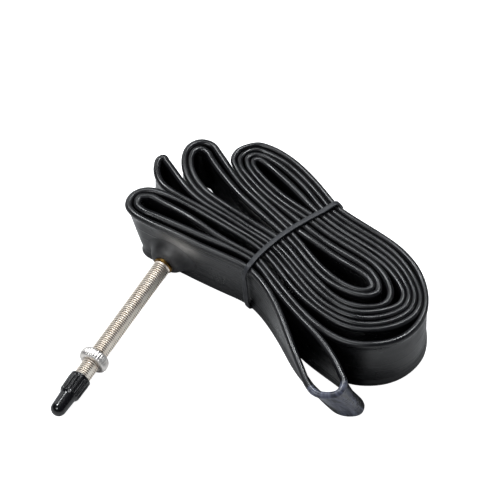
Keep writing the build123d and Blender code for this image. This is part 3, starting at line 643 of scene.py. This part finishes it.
# %% Tube rubber
def tube_rubber():
    """Butyl rubber for the ring: colour, roughness and bump from the tube's own length and width, in metres."""
    made, tree, shader = material("butyl_rubber_pressed", Specular_IOR_Level=0.45)
    uv = add(tree, "ShaderNodeUVMap", {"uv_map": "UVMap"})
    split = add(tree, "ShaderNodeSeparateXYZ", Vector=(uv, 0))
    width = add(tree, "ShaderNodeAttribute", {"attribute_name": "width"})
    lip = add(tree, "ShaderNodeAttribute", {"attribute_name": "lip"})
    tight = add(tree, "ShaderNodeAttribute", {"attribute_name": "bend"})
    join = add(tree, "ShaderNodeAttribute", {"attribute_name": "splice"})
    flat = add(tree, "ShaderNodeCombineXYZ", X=(split, 0), Y=(width, 2))
    solid = add(tree, "ShaderNodeTexCoord")
    streak_place = add(tree, "ShaderNodeMapping", {"Scale": (45, 1500, 1)}, Vector=(flat, 0))
    streak = add(tree, "ShaderNodeTexNoise", {"Scale": 1.0, "Detail": 4.0}, Vector=(streak_place, 0))
    cloud = add(tree, "ShaderNodeTexNoise", {"Scale": 110.0, "Detail": 5.0, "Roughness": 0.6}, Vector=(solid, 3))
    grain = add(tree, "ShaderNodeTexNoise", {"Scale": 5200.0, "Detail": 2.0}, Vector=(solid, 3))
    tone = add(tree, "ShaderNodeMath", {"operation": "MULTIPLY"}, in_0=(streak, 0), in_1=(cloud, 0))
    rubbed = add(tree, "ShaderNodeMath", {"operation": "MULTIPLY_ADD", "in_1": 0.05}, in_0=(lip, 2), in_2=(tone, 0))
    colour = add(tree, "ShaderNodeValToRGB",
                 {"stops": [(0.12, "#08080a"), (0.28, "#0e0e10"), (0.42, "#151517"), (0.62, "#202023")]},
                 Fac=(rubbed, 0))
    slant = add(tree, "ShaderNodeMapping", {"Scale": (900, 190, 1), "Rotation": (0, 0, 0.5)}, Vector=(flat, 0))
    smear = add(tree, "ShaderNodeTexNoise", {"Scale": 1.0, "Detail": 3.0}, Vector=(slant, 0))
    joined = add(tree, "ShaderNodeValToRGB", {"stops": [(0.35, "#2a2c34"), (0.68, "#5b5e6e")]}, Fac=(smear, 0))
    pale = add(tree, "ShaderNodeMix", {"data_type": "RGBA"}, in_0=(join, 2), in_6=(colour, 0), in_7=(joined, 0))
    powder = add(tree, "ShaderNodeAttribute", {"attribute_name": "dust"})
    patchy = add(tree, "ShaderNodeMath", {"operation": "MULTIPLY"}, in_0=(powder, 2), in_1=(cloud, 0))
    dusted = add(tree, "ShaderNodeMix", {"data_type": "RGBA", "in_7": linear("#bdb9b4")},
                 in_0=(patchy, 0), in_6=(pale, 2))
    tree.links.new(dusted.outputs[2], shader.inputs["Base Color"])
    dull = add(tree, "ShaderNodeMapRange", {"From Min": 0.3, "From Max": 0.7, "To Min": 0.24, "To Max": 0.42},
               Value=(cloud, 0))
    tree.links.new(dull.outputs[0], shader.inputs["Roughness"])
    wrinkle_place = add(tree, "ShaderNodeMapping", {"Scale": (1300, 160, 1)}, Vector=(flat, 0))
    wrinkle = add(tree, "ShaderNodeTexNoise", {"Scale": 1.0, "Detail": 3.0}, Vector=(wrinkle_place, 0))
    amount = add(tree, "ShaderNodeMapRange", {"From Min": 0.08, "From Max": 0.5, "To Min": 0.0, "To Max": 0.4},
                 Value=(tight, 2))
    folds = add(tree, "ShaderNodeMath", {"operation": "MULTIPLY"}, in_0=(wrinkle, 0), in_1=(amount, 0))
    drawn = add(tree, "ShaderNodeMath", {"operation": "MULTIPLY_ADD", "in_1": 0.12},
                in_0=(streak, 0), in_2=(folds, 0))
    offset = add(tree, "ShaderNodeMath", {"operation": "SUBTRACT", "in_1": 0.0115}, in_0=(width, 2))
    near = add(tree, "ShaderNodeMath", {"operation": "ABSOLUTE"}, in_0=(offset, 0))
    mould_line = add(tree, "ShaderNodeMapRange",
                     {"interpolation_type": "SMOOTHSTEP", "From Min": 0.0, "From Max": 0.0005,
                      "To Min": 0.12, "To Max": 0.0}, Value=(near, 0))
    crease_place = add(tree, "ShaderNodeMapping", {"Scale": (9, 190, 1)}, Vector=(flat, 0))
    crease_field = add(tree, "ShaderNodeTexNoise", {"Scale": 1.0, "Detail": 1.0}, Vector=(crease_place, 0))
    from_crease = add(tree, "ShaderNodeMath", {"operation": "SUBTRACT", "in_1": 0.5}, in_0=(crease_field, 0))
    crease_near = add(tree, "ShaderNodeMath", {"operation": "ABSOLUTE"}, in_0=(from_crease, 0))
    crease = add(tree, "ShaderNodeMapRange",
                 {"interpolation_type": "SMOOTHSTEP", "From Min": 0.0, "From Max": 0.035,
                  "To Min": 0.45, "To Max": 0.0}, Value=(crease_near, 0))
    marked = add(tree, "ShaderNodeMath", {"operation": "ADD"}, in_0=(crease, 0), in_1=(mould_line, 0))
    raised = add(tree, "ShaderNodeMath", {"operation": "ADD"}, in_0=(drawn, 0), in_1=(marked, 0))
    relief = add(tree, "ShaderNodeMath", {"operation": "MULTIPLY_ADD", "in_1": 0.5},
                 in_0=(join, 2), in_2=(raised, 0))
    coarse = add(tree, "ShaderNodeBump", {"Strength": 0.6, "Distance": 0.00025}, Height=(relief, 0))
    fine = add(tree, "ShaderNodeBump", {"Strength": 0.1, "Distance": 0.00002},
               Height=(grain, 0), Normal=(coarse, 0))
    tree.links.new(fine.outputs[0], shader.inputs["Normal"])
    return made


tube.data.materials.append(tube_rubber())

# %% [markdown]
# ### Small rubber pieces
# The band is cut from a softer, greyer rubber. The pad is the same butyl as the tube, dusty from the mould. The
# seals inside the valve are plain black. All three share one recipe: two tones in a cloud and a fine grain.

# %% Small rubber pieces
def soft_rubber(name, dark, light, scale, roughness, shine):
    """Plain moulded rubber: two tones in cloudy noise, a fine grain in the bump."""
    made, tree, shader = material(name, Roughness=roughness, Specular_IOR_Level=shine)
    solid = add(tree, "ShaderNodeTexCoord")
    cloud = add(tree, "ShaderNodeTexNoise", {"Scale": scale, "Detail": 5.0, "Roughness": 0.65}, Vector=(solid, 3))
    grain = add(tree, "ShaderNodeTexNoise", {"Scale": 4200.0, "Detail": 3.0}, Vector=(solid, 3))
    colour = add(tree, "ShaderNodeValToRGB", {"stops": [(0.30, dark), (0.70, light)]}, Fac=(cloud, 0))
    powder = add(tree, "ShaderNodeAttribute", {"attribute_name": "dust"})
    patchy = add(tree, "ShaderNodeMath", {"operation": "MULTIPLY"}, in_0=(powder, 2), in_1=(cloud, 0))
    dusted = add(tree, "ShaderNodeMix", {"data_type": "RGBA", "in_7": linear("#8b8886")},
                 in_0=(patchy, 0), in_6=(colour, 0))
    tree.links.new(dusted.outputs[2], shader.inputs["Base Color"])
    bump = add(tree, "ShaderNodeBump", {"Strength": 0.3, "Distance": 0.00004}, Height=(grain, 0))
    tree.links.new(bump.outputs[0], shader.inputs["Normal"])
    return made


band.data.materials.append(soft_rubber("band_rubber_matt", "#1a1b1e", "#2b2c30", 500.0, 0.5, 0.35))
pad.data.materials.append(soft_rubber("pad_rubber_dusty", "#0b0b0d", "#19191b", 110.0, 0.46, 0.4))
seal_rubber = soft_rubber("seal_rubber_matt", "#161617", "#222223", 900.0, 0.6, 0.4)

# %% [markdown]
# ### Metals and the cap
# The stem is nickel plate over brass, a little warm, with slight stains. The lock ring is
# brighter. The brass foot keeps its own colour. The cap is polished black plastic.

# %% Metals and plastic
def turned_metal(name, dark, light, roughness):
    """Plated or bare metal turned on a lathe: slight stains, roughness that follows them, painted shade in thread
    roots.
    """
    made, tree, shader = material(name, Metallic=1.0)
    solid = add(tree, "ShaderNodeTexCoord")
    stain = add(tree, "ShaderNodeTexNoise", {"Scale": 350.0, "Detail": 3.0}, Vector=(solid, 3))
    colour = add(tree, "ShaderNodeValToRGB", {"stops": [(0.30, dark), (0.70, light)]}, Fac=(stain, 0))
    root = add(tree, "ShaderNodeAttribute", {"attribute_name": "root"})
    # painted shade: the base colour darkens towards #75695c deep in the thread grooves, where shade falls
    root_shade = add(tree, "ShaderNodeMapRange", {"From Min": 0.3, "From Max": 0.9}, Value=(root, 2))
    root_shaded = add(tree, "ShaderNodeMix", {"data_type": "RGBA", "in_7": linear("#75695c")},
                in_0=(root_shade, 0), in_6=(colour, 0))
    tree.links.new(root_shaded.outputs[2], shader.inputs["Base Color"])
    rough = add(tree, "ShaderNodeMapRange", {"To Min": roughness * 0.8, "To Max": roughness * 1.2},
                Value=(stain, 0))
    tree.links.new(rough.outputs[0], shader.inputs["Roughness"])
    return made


def cap_plastic():
    """Moulded black plastic with a faint orange-peel surface."""
    made, tree, shader = material("cap_plastic_polished", Base_Color=linear("#08080a"))
    solid = add(tree, "ShaderNodeTexCoord")
    peel = add(tree, "ShaderNodeTexNoise", {"Scale": 1400.0, "Detail": 2.0}, Vector=(solid, 3))
    rough = add(tree, "ShaderNodeMapRange", {"To Min": 0.12, "To Max": 0.24}, Value=(peel, 0))
    tree.links.new(rough.outputs[0], shader.inputs["Roughness"])
    bump = add(tree, "ShaderNodeBump", {"Strength": 0.2, "Distance": 0.00003}, Height=(peel, 0))
    tree.links.new(bump.outputs[0], shader.inputs["Normal"])
    return made


stem.data.materials.append(turned_metal("nickel_plate_warm", "#f4e8da", "#fdf6ec", 0.5))
ring.data.materials.append(turned_metal("nickel_plate_bright", "#cdc8c2", "#e4e0dc", 0.36))
cap.data.materials.append(cap_plastic())
core_metal = turned_metal("core_brass_plated", "#a08a5c", "#c9b68a", 0.22)
for name, finish in {"valve_foot": turned_metal("brass_turned", "#6e5227", "#86693a", 0.35),
                     "core_body": core_metal, "core_pin": core_metal, "core_nut": core_metal,
                     "core_gasket": seal_rubber, "core_seal": seal_rubber}.items():
    nodes[name].data.materials.clear()
    nodes[name].data.materials.append(finish)

# %% [markdown]
# ## Stage
# A plain pale floor, a room that is dim at the sides, and five soft lights: one high at the back that draws the
# lips of the rubber, one high on the left, a large weak one in front, and two low ones that lift the sides. The
# floor glows for the camera only. So it looks white, and its glow doesn't light the insides of the loops.

# %% Floor, light and camera
FLOOR_REACH, FLOOR_DROP = 2000.0, 0.05
ends = np.array([-FLOOR_REACH, FLOOR_REACH])
floor_grid = np.stack([*np.meshgrid(ends, ends, indexing="ij"), np.full((2, 2), -FLOOR_DROP)], -1)
floor = grid_mesh("floor", floor_grid, close_cols=False)
floor_paint, floor_tree, floor_shader = material("floor_paint_white", Base_Color=linear("#d2d2d2"), Roughness=1.0,
                                                 Emission_Color=(1, 1, 1, 1))
seen = add(floor_tree, "ShaderNodeLightPath")
floor_tree.links.new(seen.outputs["Is Camera Ray"], floor_shader.inputs["Emission Strength"])
floor.data.materials.append(floor_paint)

world = bpy.data.worlds.new("room")
world.use_nodes = True
room_nodes = world.node_tree
place = add(room_nodes, "ShaderNodeTexCoord")
level = add(room_nodes, "ShaderNodeSeparateXYZ", Vector=(place, 0))
shade = add(room_nodes, "ShaderNodeValToRGB",
            {"stops": [(0.0, "#888a90"), (0.2, "#4a4c52"), (0.5, "#36383e"), (0.9, "#62656c")]}, Fac=(level, 2))
background = next(n for n in room_nodes.nodes if n.type == "BACKGROUND")
background.inputs["Strength"].default_value = 1.0
room_nodes.links.new(shade.outputs[0], background.inputs["Color"])
bpy.context.scene.world = world


def soft_light(name, azimuth, elevation, size, brightness, distance=0.9):
    """Power = pi * brightness * size^2, so the brightness is what a mirror would show."""
    a, e = math.radians(azimuth), math.radians(elevation)
    lamp = bpy.data.lights.new(name, "AREA")
    lamp.energy, lamp.size, lamp.color = math.pi * brightness * size ** 2, size, (0.95, 0.98, 1.0)
    made = bpy.data.objects.new(name, lamp)
    bpy.context.scene.collection.objects.link(made)
    made.location = (distance * math.sin(a) * math.cos(e), -distance * math.cos(a) * math.cos(e),
                     distance * math.sin(e))
    made.rotation_euler = (math.pi / 2 - e, 0, a)
    return made


soft_light("back", 180, 63, 0.16, 60)
soft_light("left", -100, 60, 0.16, 60)
soft_light("front", -10, 45, 0.3, 10)
soft_light("left_low", -118, 24, 0.5, 1.6)
soft_light("right_low", 120, 20, 0.16, 5)

AZIMUTH, ELEVATION, SPAN = 31.0, 55.0, 162.7   # bearing and height in degrees, width seen in mm
AIM_LEFT, AIM_DOWN = 17.4, 1.3                 # how far the camera aims from the middle of the bundle, mm
a, e = math.radians(AZIMUTH), math.radians(ELEVATION)
right = np.array([math.cos(a), math.sin(a), 0])
back = np.array([math.sin(a) * math.cos(e), -math.cos(a) * math.cos(e), math.sin(e)])
up = np.cross(back, right)
aim = np.array([*shift, FLAT_WIDTH]) - AIM_LEFT * right - AIM_DOWN * up
camera_data = bpy.data.cameras.new("camera")
camera_data.lens, camera_data.sensor_width = 500.0, 36.0
distance = SPAN * camera_data.lens / camera_data.sensor_width
camera = bpy.data.objects.new("camera", camera_data)
camera.location = (aim + back * distance) * MM
camera.rotation_euler = (math.pi / 2 - e, 0, a)
camera_data.clip_start, camera_data.clip_end = 0.01, 20
bpy.context.scene.collection.objects.link(camera)
bpy.context.scene.camera = camera
bpy.context.scene.view_settings.view_transform = "Standard"
